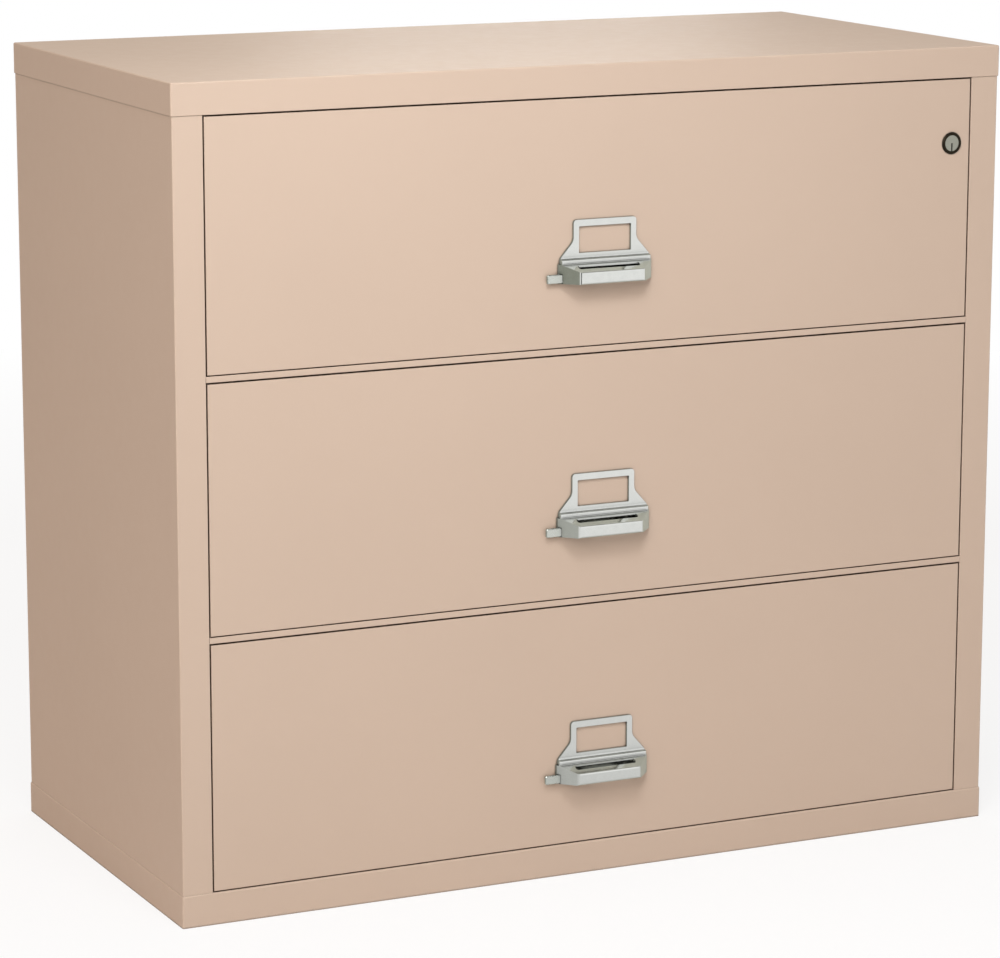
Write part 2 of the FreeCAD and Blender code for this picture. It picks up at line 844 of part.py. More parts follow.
def slide_inner(number):
    """The member on the tray's side, whose lips point to the chamber's wall."""
    x_web = X_TRAY
    x_lip = X_CHAMBER - mid_web_start() - SLIDE_SHEET - 2 * CAGE_GAP - CAGE_SHEET
    half = inner_half_height()
    corners = [
        (x_web, -half),
        (x_lip, -half),
        (x_lip, -half + SLIDE_SHEET),
        (x_web + SLIDE_SHEET, -half + SLIDE_SHEET),
        (x_web + SLIDE_SHEET, half - SLIDE_SHEET),
        (x_lip, half - SLIDE_SHEET),
        (x_lip, half),
        (x_web, half),
    ]
    return both_sides(slide_member(number, corners, Y_SLIDE, SLIDE_LENGTH))


def ball_cage(number, web_start, channel_half):
    """A ball retainer strip with windows, which stays between two members."""
    y_start = Y_SLIDE + TRAVEL / 4 + CAGE_MARGIN
    length = SLIDE_LENGTH - TRAVEL / 2 - 2 * CAGE_MARGIN
    half = channel_half - (SLIDE_BALL - CAGE_SHEET) / 2
    lip_end = SLIDE_OUTER_LIP - CAGE_GAP
    corners = slide_section(web_start, CAGE_SHEET, lip_end, half, CAGE_SHEET)
    strip = slide_member(number, corners, y_start, length)
    middle = chamber_bottom(number) + SLIDE_LIFT
    x_ball = X_CHAMBER - (web_start + CAGE_SHEET + lip_end) / 2
    windows = []
    for index in range(int(length / CAGE_PITCH)):
        y = y_start + (index + 0.5) * CAGE_PITCH
        windows.append(
            block(
                x_ball - CAGE_WINDOW / 2,
                x_ball + CAGE_WINDOW / 2,
                y - CAGE_WINDOW / 2,
                y + CAGE_WINDOW / 2,
                middle - channel_half,
                middle + channel_half,
            )
        )
    return both_sides(strip.cut(Part.makeCompound(windows)))


def cage_outer(number):
    web_start = SLIDE_SHEET + CAGE_GAP
    channel_half = SLIDE_HEIGHT / 2 - SLIDE_SHEET
    return ball_cage(number, web_start, channel_half)


def cage_inner(number):
    web_start = mid_web_start() + SLIDE_SHEET + CAGE_GAP
    channel_half = mid_half_height() - SLIDE_SHEET
    return ball_cage(number, web_start, channel_half)


# Handle, in its own place: face of the drawer at y 0, lowest edge at z 0


def to_drawer(shape, number):
    """Moves a piece made at the handle's own place to its drawer."""
    shape.translate(Vector(0, Y_FACE, opening_middle(number) - HANDLE_DROP))
    return shape


def frame_outline():
    """Outline of the label frame, whose neck widens to the brow of the pull."""
    right = [
        (BROW_HALF, 0),
        (BROW_HALF, SHOULDER_HEIGHT, SHOULDER_RADIUS),
        (FRAME_HALF, HANDLE_HEIGHT - NECK_DROP, NECK_RADIUS),
        (FRAME_HALF, HANDLE_HEIGHT, FRAME_RADIUS),
    ]
    left = [(-corner[0],) + corner[1:] for corner in reversed(right)]
    return right + left


def frame_plate():
    """The label frame with its window."""
    plate = prism(frame_outline(), "xz", -FRAME_THICKNESS, 0)
    top = HANDLE_HEIGHT - WINDOW_DROP
    window = prism(
        [
            (-WINDOW_HALF, top - WINDOW_HEIGHT, WINDOW_RADIUS),
            (WINDOW_HALF, top - WINDOW_HEIGHT, WINDOW_RADIUS),
            (WINDOW_HALF, top, WINDOW_RADIUS),
            (-WINDOW_HALF, top, WINDOW_RADIUS),
        ],
        "xz",
        -FRAME_THICKNESS,
        0,
    )
    return plate.cut(window)


def pull_plan():
    """Plan of the pull: straight roots, then ends that slant in to the bar."""
    return [
        (PULL_HALF, 0),
        (PULL_HALF, -PULL_ROOT),
        (PULL_FRONT_HALF, -PULL_REACH, PULL_CORNER_RADIUS),
        (-PULL_FRONT_HALF, -PULL_REACH, PULL_CORNER_RADIUS),
        (-PULL_HALF, -PULL_ROOT),
        (-PULL_HALF, 0),
    ]


def pull_profile():
    """Side view of the pull: bar, sloping top, rounded brow and the hollow over it."""
    return [
        (0, 0),
        (-PULL_REACH, 0, PULL_LOW_RADIUS),
        (-PULL_REACH, PULL_BAR_HEIGHT, PULL_TOP_RADIUS),
        (-BROW_REACH + BROW_LIP_DEPTH, BROW_LOW, BROW_CREASE_RADIUS),
        (-BROW_REACH, BROW_LOW + BROW_LIP_HEIGHT, BROW_LIP_RADIUS),
        (-BROW_REACH, BROW_NOSE, BROW_RADIUS),
        (-FRAME_THICKNESS, BROW_HOLLOW, BROW_HOLLOW_RADIUS),
        (-FRAME_THICKNESS, BROW_TOP),
        (0, BROW_TOP),
    ]


def finger_pocket():
    """The hollow behind the bar, open below, and the slot that opens it above."""
    roof = [
        (-PULL_BACK, -SHEET),
        (-PULL_REACH + PULL_BAR, -SHEET),
        (-PULL_REACH + PULL_BAR, PULL_BAR_HEIGHT),
        (-BROW_REACH, BROW_LOW - PULL_SKIN),
        (-PULL_BACK, BROW_LOW - PULL_SKIN),
    ]
    front = [
        (-SLOT_HALF, -PULL_REACH + PULL_BAR, SLOT_RADIUS),
        (SLOT_HALF, -PULL_REACH + PULL_BAR, SLOT_RADIUS),
    ]
    plan = prism(
        front + [(SLOT_HALF, 0), (-SLOT_HALF, 0)], "xy", -SHEET, HANDLE_HEIGHT
    )
    hollow = prism(roof, "yz", -SLOT_HALF, SLOT_HALF).common(plan)
    back = [(SLOT_HALF, -SLOT_BACK, SLOT_RADIUS), (-SLOT_HALF, -SLOT_BACK, SLOT_RADIUS)]
    return fused([hollow, prism(front + back, "xy", 0, HANDLE_HEIGHT)])


def tab_channel():
    """The way through the left end of the pull for the tab of the thumb latch."""
    return block(
        -PULL_HALF - SHEET,
        -SLOT_HALF + SHEET,
        -TAB_OFFSET - TAB_THICKNESS - TAB_GAP,
        -TAB_OFFSET + TAB_GAP,
        TAB_LIFT - TAB_GAP,
        TAB_LIFT + TAB_HEIGHT + TAB_GAP,
    )


def pull():
    """The cast pull with its finger pocket and the brow that meets the frame."""
    body = prism(pull_profile(), "yz", -PULL_HALF, PULL_HALF)
    body = body.common(prism(pull_plan(), "xy", 0, HANDLE_HEIGHT))
    sides = block(-PULL_HALF, PULL_HALF, -BROW_REACH, 0, BROW_LOW, BROW_TOP).cut(
        prism(frame_outline(), "xz", -BROW_REACH, 0)
    )
    stem_way = block(
        -TAB_INNER_END - LATCH_OUT - BOLT_GAP,
        -TAB_INNER_END + LATCH_STEM + LATCH_IN + BOLT_GAP,
        -PULL_BACK,
        0,
        TAB_LIFT + STEM_LIFT - BOLT_GAP,
        TAB_LIFT + STEM_LIFT + LATCH_STEM + BOLT_GAP,
    )
    for space in (sides, finger_pocket(), tab_channel(), stem_way):
        body = body.cut(space)
    return body


def handle(number):
    plate = frame_plate()
    lower = block(-PULL_HALF, PULL_HALF, -FRAME_THICKNESS, 0, 0, BROW_NOSE)
    return to_drawer(fused([plate.cut(lower), pull()]), number)


# Thumb latch


def stem_heights(number):
    """Lower and upper side of the latch's stem."""
    z0 = opening_middle(number) - HANDLE_DROP + TAB_LIFT + STEM_LIFT
    return z0, z0 + LATCH_STEM


def pin_height(number):
    z0, z1 = stem_heights(number)
    return (z0 + z1) / 2


def cam_slot(number):
    """The slot at 45 degrees that turns the latch's travel into the bolt's."""
    half = BOLT_PIN_RADIUS + BOLT_FIT
    z = pin_height(number)
    low = Vector(X_BOLT + LATCH_OUT, 0, z - LATCH_OUT)
    high = Vector(X_BOLT - LATCH_IN, 0, z + LATCH_IN)
    along = (high - low).normalize()
    low = low - along * BOLT_FIT
    high = high + along * BOLT_FIT
    across = Vector(along.z, 0, -along.x) * half
    path = [
        Part.makeLine(low + across, high + across),
        Part.Arc(high + across, high + along * half, high - across).toShape(),
        Part.makeLine(high - across, low - across),
        Part.Arc(low - across, low - along * half, low + across).toShape(),
    ]
    y0 = Y_FACE + HEAD_SHEET
    face = Part.Face(Part.Wire(path))
    face.translate(Vector(0, y0, 0))
    return face.extrude(Vector(0, LATCH_POCKET, 0))


def thumb_latch(number):
    """Tab beside the pull, its stem through the face and the cam plate behind."""
    z_tab = opening_middle(number) - HANDLE_DROP + TAB_LIFT
    y_front = Y_FACE - TAB_OFFSET - TAB_THICKNESS
    y_cam = Y_FACE + HEAD_SHEET + CAM_GAP
    tab = prism(
        [
            (-TAB_END, z_tab, TAB_RADIUS),
            (-TAB_INNER_END, z_tab),
            (-TAB_INNER_END, z_tab + TAB_HEIGHT),
            (-TAB_END, z_tab + TAB_HEIGHT, TAB_RADIUS),
        ],
        "xz",
        y_front,
        y_front + TAB_THICKNESS,
    )
    tab = tab.makeChamfer(
        TAB_CHAMFER,
        [
            edge
            for edge in tab.Edges
            if at_depth(edge, y_front) and edge.BoundBox.XMin < -TAB_INNER_END
        ],
    )
    z0, z1 = stem_heights(number)
    stem = block(
        -TAB_INNER_END,
        -TAB_INNER_END + LATCH_STEM,
        y_front,
        y_cam,
        z0,
        z1,
    )
    z = pin_height(number)
    cam = block(
        X_BOLT - CAM_HALF,
        X_BOLT + CAM_HALF,
        y_cam,
        y_cam + CAM_SHEET,
        z - CAM_HALF + LATCH_OUT,
        z + CAM_HALF,
    )
    window = cam_slot(number)
    return fused([tab, stem, cam.cut(window)])


def latch_bolt(number):
    """The bolt that drops into the slot in the rail under the drawer head."""
    front, back = bolt_depths()
    z_pin = pin_height(number)
    nose = opening_bottom(number) + BOLT_GAP
    bar = prism(
        [
            (X_BOLT - BOLT_WIDTH / 2, nose, BOLT_NOSE_RADIUS),
            (X_BOLT + BOLT_WIDTH / 2, nose, BOLT_NOSE_RADIUS),
            (X_BOLT + BOLT_WIDTH / 2, z_pin + BOLT_WIDTH / 2, BOLT_HEAD_RADIUS),
            (X_BOLT - BOLT_WIDTH / 2, z_pin + BOLT_WIDTH / 2, BOLT_HEAD_RADIUS),
        ],
        "xz",
        front,
        back,
    )
    pin = Part.makeCylinder(
        BOLT_PIN_RADIUS,
        CAM_SHEET + CAM_GAP + SHEET,
        Vector(X_BOLT, front - CAM_SHEET - CAM_GAP, z_pin),
        Vector(0, 1, 0),
    )
    return fused([bar, pin])


def latch_spring(number):
    """Folded flat spring that pushes the latch back to the left."""
    x0 = X_BOLT + CAM_HALF + CAM_GAP
    step = (SPRING_LENGTH - SPRING_SHEET) / SPRING_FOLDS
    y0 = Y_FACE + HEAD_SHEET + CAM_GAP
    z = pin_height(number)
    legs = []
    for index in range(SPRING_FOLDS):
        x = x0 + index * step
        side = SPRING_HALF if index % 2 else -SPRING_HALF
        leg = [
            (x, z + side),
            (x + SPRING_SHEET, z + side),
            (x + step + SPRING_SHEET, z - side),
            (x + step, z - side),
        ]
        legs.append(prism(leg, "xz", y0, y0 + SPRING_WIDTH))
    return fused(legs)


# Lock


def lock_housing():
    """Flanged barrel of the lock, with a chamfered ring on the drawer's face."""
    axis = Vector(0, 1, 0)
    ring_start = Vector(X_LOCK, Y_FACE - LOCK_RING_PROUD, Z_LOCK)
    ring = Part.makeCylinder(LOCK_RING_RADIUS, LOCK_RING_PROUD, ring_start, axis)
    ring = ring.makeChamfer(
        LOCK_RING_CHAMFER, [edge for edge in ring.Edges if at_depth(edge, ring_start.y)]
    )
    barrel = Part.makeCylinder(
        LOCK_BARREL_RADIUS,
        LOCK_BARREL_LENGTH,
        Vector(X_LOCK, Y_FACE, Z_LOCK),
        axis,
    )
    bore = Part.makeCylinder(
        LOCK_PLUG_RADIUS + LOCK_FIT,
        LOCK_BARREL_LENGTH + LOCK_RING_PROUD,
        ring_start,
        axis,
    )
    return fused([ring, barrel]).cut(bore)


def lock_plug():
    """The core that the key turns, with its keyway open from the middle to the rim."""
    axis = Vector(0, 1, 0)
    y_start = Y_FACE - LOCK_RING_PROUD + LOCK_PLUG_RECESS
    y_end = Y_FACE + LOCK_BARREL_LENGTH
    plug = Part.makeCylinder(
        LOCK_PLUG_RADIUS, y_end - y_start, Vector(X_LOCK, y_start, Z_LOCK), axis
    )
    keyway = block(
        X_LOCK - KEYWAY_WIDTH / 2,
        X_LOCK + KEYWAY_WIDTH / 2,
        y_start,
        y_start + KEYWAY_DEPTH,
        Z_LOCK - KEYWAY_LENGTH,
        Z_LOCK,
    )
    return plug.cut(keyway)


def lock_tail():
    """Shaft behind the core, ending in the lobe that lifts the lock bar."""
    axis = Vector(0, 1, 0)
    y_start = Y_FACE + LOCK_BARREL_LENGTH
    shaft = Part.makeCylinder(
        TAIL_RADIUS, Y_BAR - y_start, Vector(X_LOCK, y_start, Z_LOCK), axis
    )
    hub = Part.makeCylinder(
        LOBE_RADIUS, LOBE_THICKNESS, Vector(X_LOCK, Y_BAR, Z_LOCK), axis
    )
    tip = Part.makeCylinder(
        LOBE_RADIUS, LOBE_THICKNESS, Vector(X_LOCK + LOBE_REACH, Y_BAR, Z_LOCK), axis
    )
    arm = block(
        X_LOCK,
        X_LOCK + LOBE_REACH,
        Y_BAR,
        Y_BAR + LOBE_THICKNESS,
        Z_LOCK - LOBE_RADIUS,
        Z_LOCK + LOBE_RADIUS,
    )
    return fused([shaft, hub, tip, arm])


def lock_channel():
    """Steel channel in the right wall that the lock bar runs in."""
    outer = block(
        X_CHAMBER + SHEET,
        X_OPENING + SHEET,
        Y_LINING,
        Y_CHANNEL_BACK,
        2 * SHEET,
        HEIGHT - SHEET,
    )
    inside = block(
        X_CHAMBER + SHEET + CHANNEL_SHEET,
        X_OPENING + SHEET - CHANNEL_SHEET,
        Y_LINING,
        Y_CHANNEL_BACK - CHANNEL_SHEET,
        2 * SHEET,
        HEIGHT - SHEET,
    )
    return outer.cut(inside)


def lock_bar():
    """Vertical bar with a lug over the lock's lobe and a finger under each strike."""
    y1 = Y_BAR + LOBE_THICKNESS
    lug_bottom = Z_LOCK + LOBE_RADIUS + LOBE_PLAY
    lug_top = lug_bottom + LOCK_LUG
    finger_tops = [
        opening_middle(number) - STRIKE_HEIGHT / 2 - STRIKE_GAP
        for number in range(2, DRAWER_COUNT + 1)
    ]
    strip_bottom = min(finger_tops) - 2 * LOCK_LUG
    pieces = [
        block(X_BAR_LEFT, X_BAR_RIGHT, Y_BAR, y1, strip_bottom, lug_top),
        block(X_LOCK - LOBE_RADIUS, X_BAR_LEFT, Y_BAR, y1, lug_bottom, lug_top),
    ]
    x_tip = X_STRIKE - STRIKE_THICKNESS / 2 - STRIKE_GAP
    for top in finger_tops:
        pieces.append(block(x_tip, X_BAR_LEFT, Y_BAR, y1, top - LOCK_LUG, top))
    return fused(pieces)


def drawer_pieces(number):
    """Every piece that belongs to one drawer and its slides, by name."""
    makers = [
        liner,
        slide_outer,
        cage_outer,
        slide_mid,
        cage_inner,
        slide_inner,
        head_pan,
        head_plug,
        head_core,
        tray,
        folder_rails,
        handle,
        thumb_latch,
        latch_bolt,
        latch_spring,
    ]
    return {f"{maker.__name__}_{number}": maker(number) for maker in makers}


def all_pieces():
    makers = [
        outer_wrap,
        top_cover,
        base_frame,
        bottom_pan,
        cross_rails,
        side_insulation,
        back_insulation,
        top_insulation,
        floor_insulation,
        divider_insulation,
        lock_channel,
        lock_bar,
        lock_housing,
        lock_plug,
        lock_tail,
    ]
    pieces = {maker.__name__: maker() for maker in makers}
    for number in range(1, DRAWER_COUNT + 1):
        pieces.update(drawer_pieces(number))
    return pieces


def main():
    os.makedirs("parts", exist_ok=True)
    for name, shape in all_pieces().items():
        shape.exportStep(f"parts/{name}.step")


main()
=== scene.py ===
import json
import math

import bmesh
import bpy
from mathutils import Matrix, Vector

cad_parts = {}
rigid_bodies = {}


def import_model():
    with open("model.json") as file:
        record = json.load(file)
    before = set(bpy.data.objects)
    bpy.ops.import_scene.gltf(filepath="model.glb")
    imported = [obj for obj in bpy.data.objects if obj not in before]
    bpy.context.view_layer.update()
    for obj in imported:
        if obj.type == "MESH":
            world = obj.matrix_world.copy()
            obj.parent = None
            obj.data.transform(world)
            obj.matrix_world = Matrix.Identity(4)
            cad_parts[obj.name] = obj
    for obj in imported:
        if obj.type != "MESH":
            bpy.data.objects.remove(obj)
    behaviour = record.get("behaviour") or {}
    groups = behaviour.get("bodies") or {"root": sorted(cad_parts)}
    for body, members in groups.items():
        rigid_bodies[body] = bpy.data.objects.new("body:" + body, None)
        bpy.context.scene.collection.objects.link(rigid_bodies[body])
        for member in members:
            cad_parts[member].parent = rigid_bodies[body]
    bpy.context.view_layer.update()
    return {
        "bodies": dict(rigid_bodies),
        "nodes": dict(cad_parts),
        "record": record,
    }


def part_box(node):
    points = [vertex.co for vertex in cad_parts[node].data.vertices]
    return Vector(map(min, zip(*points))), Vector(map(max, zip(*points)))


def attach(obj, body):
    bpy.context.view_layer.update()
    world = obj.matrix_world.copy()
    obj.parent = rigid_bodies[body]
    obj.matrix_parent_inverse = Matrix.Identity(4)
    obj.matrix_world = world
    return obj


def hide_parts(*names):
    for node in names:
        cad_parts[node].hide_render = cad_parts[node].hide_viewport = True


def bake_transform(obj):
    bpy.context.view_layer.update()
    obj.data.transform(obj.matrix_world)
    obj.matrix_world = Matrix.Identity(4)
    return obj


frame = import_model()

# A lateral fireproof filing cabinet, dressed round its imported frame. All sizes in metres.

NODES = frame["nodes"]
BODIES = frame["bodies"]
DRAWERS = sorted(int(name.split("_")[1]) for name in BODIES if name.startswith("drawer_"))

# Camera: the photograph's viewpoint, fitted to the cabinet's edges
IMAGE_WIDTH = 1000
SENSOR = 36.0
FOCAL_PIXELS = 3956.9
CAMERA_FROM_FRONT = (-2.1974, -4.2889, 1.4906)
CAMERA_YAW = 25.610
CAMERA_PITCH = 11.554
CAMERA_ROLL = 0.083

# Colours, linear
PAINT = (0.636, 0.501, 0.401)
PAINT_INSIDE = (0.600, 0.455, 0.350)
# Painted shade: the paint's colour is multiplied by this inside narrow gaps
GAP_SHADE = (0.10, 0.06, 0.035)
STUDIO_WHITE = (1.0, 1.0, 1.0)
STUDIO_FLAG = (0.30, 0.31, 0.26)
AMBIENT_LEFT = (1.12, 0.86, 0.72)
# Painted reflection: the grey that painted surfaces show in reflections, in place of their own
# colour
PAINTED_REFLECTION_GREY = (0.50, 0.51, 0.45)

# Painted shade in narrow places, where the near space is closed in: reach, then the free share of
# the near space that counts as shut and as open
GAP = (0.006, 0.15, 0.70)
SEAM = (0.0016, 0.50, 0.95)
SLIDE_GAP = (0.012, 0.10, 0.60)
HOLLOW = (0.018, 0.50, 0.95)
CREASE = (0.005, 0.45, 0.90)
SEAM_SHADE = 0.45
SLIDE_GAP_SHADE = 0.10
HOLLOW_SHADE = 0.50
CREASE_SHADE = 0.25

# Paint
PAINT_SHEEN = 0.15
PAINT_ROUGH = (0.42, 0.50)
PATCH_SCALE = 3.0
HAZE_SCALE = 60.0
PEEL_SCALE = 700.0
PEEL_DEPTH = 0.00003

# Slide balls
BALL = 0.0038
CAGE_SHEET = 0.0008
CAGE_PITCH = 0.045
OUTER_BALL_IN = 0.0048
INNER_BALL_IN = 0.0033

# Studio floor: the shadow's strength for the camera, and where it fades out
FLOOR_HALF = 60.0
FLOOR_GREY = (0.80, 0.80, 0.80)
FLOOR_SHADOW = 0.20
FLOOR_NEAR = 2.0
FLOOR_FAR = 3.8

# The room as metal sees it. Ranges in metres on the floor, and in parts of a unit vector above
BRIGHT_SIDE = (0.6, -0.8, 0.0)
DARK_SIDE = (-0.42, -0.91, 0.0)
DARK_ACROSS = (0.91, -0.42, 0.0)
DARK_BAND = (0.05, 0.05, 0.045)
DARK_CEILING = (0.16, 0.16, 0.15)
FLOOR_TURN = (-0.8, 0.8)
FLOOR_BAND = ((2.6, 3.4), (0.5, 1.1))
FLOOR_GLOSS_RADIUS = (0.6, 3.0)
FLOOR_GLOSS = (0.78, 0.97)
ROOM_TURN = (-0.5, 0.3)
ROOM_BAND = ((0.80, 0.90), (0.12, 0.28))
CEILING_EDGE = (0.80, 0.88)

# Lamps and ambient light, warmer from the left
AMBIENT = 0.46
AMBIENT_TURN = (-0.7, 0.3)
LAMPS = (
    # name, place, target, size, power, colour
    ("key_light", (-3.3, -3.9, 3.0), (0.0, 0.0, 0.5), (2.4, 2.0), 92.0, (1.0, 0.985, 0.965)),
    ("front_light", (-0.7, -1.9, 2.6), (0.0, -0.25, 0.6), (1.2, 0.8), 18.2, (0.99, 1.0, 1.01)),
    ("spot_light", (-0.4, -1.25, 1.75), (-0.02, -0.27, 0.90), (0.5, 0.3), 4.2, (0.97, 1.0, 1.04)),
    ("top_light", (0.1, 0.9, 3.6), (0.0, 0.0, 0.9), (2.4, 1.8), 13.5, (1.0, 0.98, 0.95)),
    ("back_light", (1.25, 2.6, 1.75), (0.0, 0.0, 1.0), (0.9, 0.5), 5.2, (1.0, 0.98, 0.95)),
)


def new_material(name):
    """A material with its node tree emptied but for the shader and the output."""
    material = bpy.data.materials.new(name)
    material.use_nodes = True
    nodes = material.node_tree.nodes
    nodes.clear()
    output = nodes.new("ShaderNodeOutputMaterial")
    shader = nodes.new("ShaderNodeBsdfPrincipled")
    material.node_tree.links.new(shader.outputs["BSDF"], output.inputs["Surface"])
    return material, shader


def object_space(material):
    return material.node_tree.nodes.new("ShaderNodeTexCoord").outputs["Object"]


def noise(material, vector, scale, detail=3.0, roughness=0.5):
    node = material.node_tree.nodes.new("ShaderNodeTexNoise")
    node.inputs["Scale"].default_value = scale
    node.inputs["Detail"].default_value = detail
    node.inputs["Roughness"].default_value = roughness
    material.node_tree.links.new(vector, node.inputs["Vector"])
    return node.outputs["Fac"]


def stretched(material, vector, scale):
    """The coordinates scaled by a different amount along each axis."""
    node = material.node_tree.nodes.new("ShaderNodeMapping")
    node.inputs["Scale"].default_value = scale
    material.node_tree.links.new(vector, node.inputs["Vector"])
    return node.outputs["Vector"]


def spread(tree, factor, start, end, low, high):
    """A value that runs from low to high while the factor runs from start to end."""
    node = tree.nodes.new("ShaderNodeMapRange")
    node.inputs["From Min"].default_value = start
    node.inputs["From Max"].default_value = end
    node.inputs["To Min"].default_value = low
    node.inputs["To Max"].default_value = high
    tree.links.new(factor, node.inputs["Value"])
    return node.outputs["Result"]


def between(material, factor, low, high):
    """The middle range of a noise spread from one value to another."""
    return spread(material.node_tree, factor, 0.3, 0.7, low, high)


def blended(tree, factor, first, second):
    """A colour that runs from the first to the second with the factor."""
    node = tree.nodes.new("ShaderNodeMix")
    node.data_type = "RGBA"
    for socket, colour in (("A", first), ("B", second)):
        if isinstance(colour, tuple):
            node.inputs[socket].default_value = (*colour, 1.0)
        else:
            tree.links.new(colour, node.inputs[socket])
    tree.links.new(factor, node.inputs["Factor"])
    return node.outputs["Result"]


def tinted(material, factor, first, second):
    return blended(material.node_tree, factor, first, second)


def bumped(material, shader, height, distance, strength=1.0):
    node = material.node_tree.nodes.new("ShaderNodeBump")
    node.inputs["Distance"].default_value = distance
    node.inputs["Strength"].default_value = strength
    links = material.node_tree.links
    links.new(height, node.inputs["Height"])
    links.new(node.outputs["Normal"], shader.inputs["Normal"])


def openness(material, reach, shut, clear):
    """Zero where no more than the shut share of the near space is free, one from the clear share."""
    node = material.node_tree.nodes.new("ShaderNodeAmbientOcclusion")
    node.samples = 4
    node.inputs["Distance"].default_value = reach
    return spread(material.node_tree, node.outputs["AO"], shut, clear, 0.0, 1.0)


def scaled(colour, factor):
    return tuple(min(1.0, channel * factor) for channel in colour)


def powder_paint(name, colour):
    """Baked enamel on sheet steel: faint mottling, orange peel, soft gloss, painted shade in its
    gaps and seams, and a painted grey in reflections.
    """
    material, shader = new_material(name)
    links = material.node_tree.links
    where = object_space(material)
    patches = between(material, noise(material, where, PATCH_SCALE, 4.0), 0.0, 1.0)
    tint = tinted(material, patches, scaled(colour, 0.985), scaled(colour, 1.01))
    # Painted shade: the colour darkens in thin seams and concave creases
    seam_shaded = tinted(material, openness(material, *SEAM), scaled(colour, SEAM_SHADE), tint)
    # Painted shade: the colour turns dark brown where a narrow gap closes in
    shaded = tuple(channel * shade for channel, shade in zip(colour, GAP_SHADE))
    depth = openness(material, *GAP)
    lit = tinted(material, depth, shaded, seam_shaded)
    # Painted reflection: glossy rays see a grey in place of the paint's colour
    mirrored = material.node_tree.nodes.new("ShaderNodeLightPath").outputs["Is Glossy Ray"]
    links.new(tinted(material, mirrored, lit, PAINTED_REFLECTION_GREY), shader.inputs["Base Color"])
    haze = noise(material, where, HAZE_SCALE, 3.0)
    links.new(between(material, haze, *PAINT_ROUGH), shader.inputs["Roughness"])
    peel = noise(material, where, PEEL_SCALE, 2.0)
    bumped(material, shader, peel, PEEL_DEPTH, 0.6)
    sheen = spread(material.node_tree, depth, 0.0, 1.0, 0.0, PAINT_SHEEN)
    links.new(sheen, shader.inputs["Specular IOR Level"])
    return material


def plated(name, colour, rough_low, rough_high):
    """Bright plating with faint polishing waves and a slight haze, with painted shade in its hollows
    and creases.
    """
    material, shader = new_material(name)
    links = material.node_tree.links
    where = object_space(material)
    cloud = noise(material, where, 120.0, 3.0)
    tint = tinted(material, between(material, cloud, 0.0, 1.0), scaled(colour, 0.96), colour)
    # Painted shade: the plating darkens in hollows, and more in tight creases
    shaded = tinted(material, openness(material, *HOLLOW), scaled(colour, HOLLOW_SHADE), tint)
    crease_shaded = tinted(material, openness(material, *CREASE), scaled(colour, CREASE_SHADE), shaded)
    links.new(crease_shaded, shader.inputs["Base Color"])
    links.new(between(material, cloud, rough_low, rough_high), shader.inputs["Roughness"])
    waves = noise(material, where, 60.0, 1.0)
    bumped(material, shader, waves, 0.0001, 0.15)
    shader.inputs["Metallic"].default_value = 1.0
    return material


def brushed(name, colour, scale):
    """Steel with fine lines along the axis that is scaled least, with painted shade inside gaps."""
    material, shader = new_material(name)
    links = material.node_tree.links
    lines = noise(material, stretched(material, object_space(material), scale), 1.0, 4.0)
    tint = tinted(material, between(material, lines, 0.0, 1.0), scaled(colour, 0.88), colour)
    # Painted shade: the steel darkens inside narrow gaps
    depth = openness(material, *SLIDE_GAP)
    shaded = tinted(material, depth, scaled(colour, SLIDE_GAP_SHADE), tint)
    links.new(shaded, shader.inputs["Base Color"])
    links.new(between(material, lines, 0.28, 0.42), shader.inputs["Roughness"])
    bumped(material, shader, lines, 0.00002, 0.5)
    shader.inputs["Metallic"].default_value = 1.0
    return material


def cast_fill(name, colour):
    """Cast gypsum with mica flecks."""
    material, shader = new_material(name)
    links = material.node_tree.links
    where = object_space(material)
    flecks = noise(material, where, 260.0, 5.0, 0.7)
    tint = tinted(material, between(material, flecks, 0.0, 1.0), scaled(colour, 0.72), colour)
    links.new(tint, shader.inputs["Base Color"])
    shader.inputs["Roughness"].default_value = 0.92
    bumped(material, shader, flecks, 0.0006, 0.6)
    return material


def moulded(name, colour):
    """Plain moulded plastic with a fine spark texture."""
    material, shader = new_material(name)
    links = material.node_tree.links
    grain = noise(material, object_space(material), 500.0, 3.0)
    tint = tinted(material, between(material, grain, 0.0, 1.0), scaled(colour, 0.94), colour)
    links.new(tint, shader.inputs["Base Color"])
    links.new(between(material, grain, 0.45, 0.6), shader.inputs["Roughness"])
    bumped(material, shader, grain, 0.00004, 0.5)
    return material


def make_materials():
    return {
        "case_paint": powder_paint("case_paint", PAINT),
        "front_paint": powder_paint("front_paint", PAINT),
        "lining_paint": powder_paint("lining_paint", scaled(PAINT_INSIDE, 0.8)),
        "tray_paint": powder_paint("tray_paint", scaled(PAINT, 0.95)),
        "bare_steel": brushed("bare_steel", (0.52, 0.52, 0.50), (4.0, 900.0, 900.0)),
        "zinc_steel": brushed("zinc_steel", (0.62, 0.63, 0.65), (900.0, 4.0, 900.0)),
        "cage_plastic": moulded("cage_plastic", (0.75, 0.73, 0.66)),
        "insulation": cast_fill("insulation", (0.70, 0.66, 0.56)),
        "handle_chrome": plated("handle_chrome", (0.76, 0.77, 0.74), 0.09, 0.15),
        "latch_metal": plated("latch_metal", (0.66, 0.68, 0.63), 0.24, 0.32),
        "lock_bronze": plated("lock_bronze", (0.030, 0.024, 0.016), 0.35, 0.45),
        "lock_core": brushed("lock_core", (0.37, 0.37, 0.31), (500.0, 500.0, 500.0)),
    }


def dress_nodes(materials):
    slots = {part["node"]: part["material_slot"] for part in frame["record"]["subparts"]}
    for node, obj in NODES.items():
        obj.data.materials.clear()
        obj.data.materials.append(materials[slots[node]])


